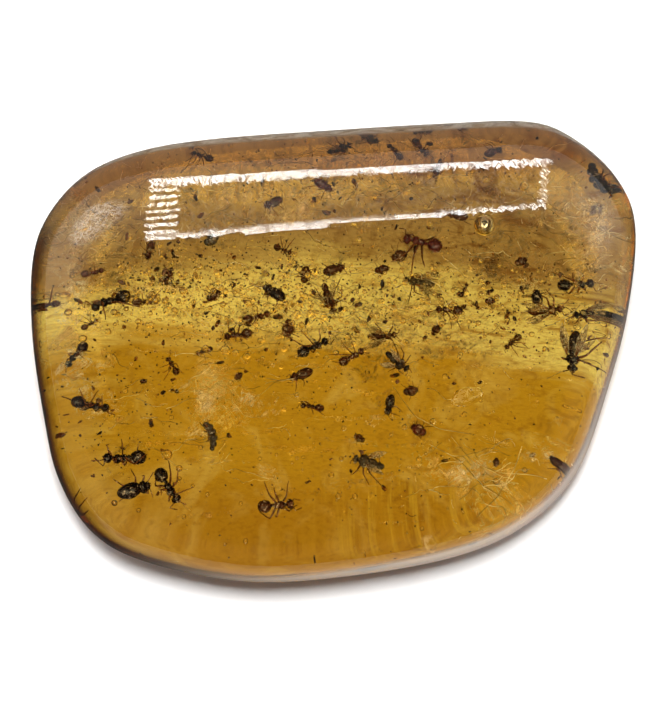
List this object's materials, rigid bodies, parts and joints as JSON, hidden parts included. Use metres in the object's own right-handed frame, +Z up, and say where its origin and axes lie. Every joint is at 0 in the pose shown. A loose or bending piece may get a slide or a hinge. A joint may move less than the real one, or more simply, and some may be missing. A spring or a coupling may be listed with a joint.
{
  "type": "insect in copal",
  "caption": "Polished rounded slab of clear golden copal resin with ants, beetles, gnats and other small insects sealed inside, lying on its flat underside.",
  "frame": {"origin": "centre of the bounding box on the flat underside that the block lies on", "axes": "+X along the length, +Y towards the wide rolled back edge, +Z up through the polished face"},
  "size_m": [0.0841, 0.0643, 0.026],
  "materials": {
    "copal": "polished",
    "black_insect": "satin",
    "brown_insect": "satin",
    "red_insect": "satin",
    "grey_insect": "satin"
  },
  "bodies": {
    "root": {"copal_lower": "copal", "copal_upper": "copal", "ant_large_left": "black_insect", "ant_beside_large": "brown_insect", "ant_left_upper": "black_insect", "ant_left_lower": "black_insect", "ant_on_its_back": "black_insect", "beetle_lower_left": "black_insect", "ant_below_beetle": "black_insect", "ant_corner_left": "black_insect", "grub_curved": "grey_insect", "ant_back_left": "brown_insect", "mite_upper_left": "grey_insect", "gnat_left": "brown_insect", "ant_left_shoulder": "red_insect", "ant_left_rim": "brown_insect", "gnat_back_middle": "black_insect", "gnat_back_right": "grey_insect", "ant_back_right": "brown_insect", "beetle_back": "red_insect", "ant_red_brown": "red_insect", "mite_middle_right": "brown_insect", "beetle_middle": "brown_insect", "beetle_long_horned": "black_insect", "gnat_centre": "brown_insect", "alate_right_upper": "grey_insect", "ant_pair_upper": "brown_insect", "ant_pair_lower": "brown_insect", "mite_centre_left": "brown_insect", "ant_centre": "black_insect", "beetle_centre_low": "brown_insect", "ant_centre_right": "brown_insect", "gnat_centre_right": "black_insect", "alate_centre": "brown_insect", "beetle_black": "black_insect", "mite_beside_black": "brown_insect", "mite_low_right": "red_insect", "gnat_low": "grey_insect", "ant_bottom": "brown_insect", "ant_front_edge": "grey_insect", "grub_right_corner": "black_insect", "ant_right_upper": "black_insect", "mite_right_round": "black_insect", "ant_right_band": "brown_insect", "alate_right": "brown_insect", "alate_right_rim": "black_insect", "alate_upright": "black_insect", "ant_right_low": "black_insect"}
  },
  "joints": []
}
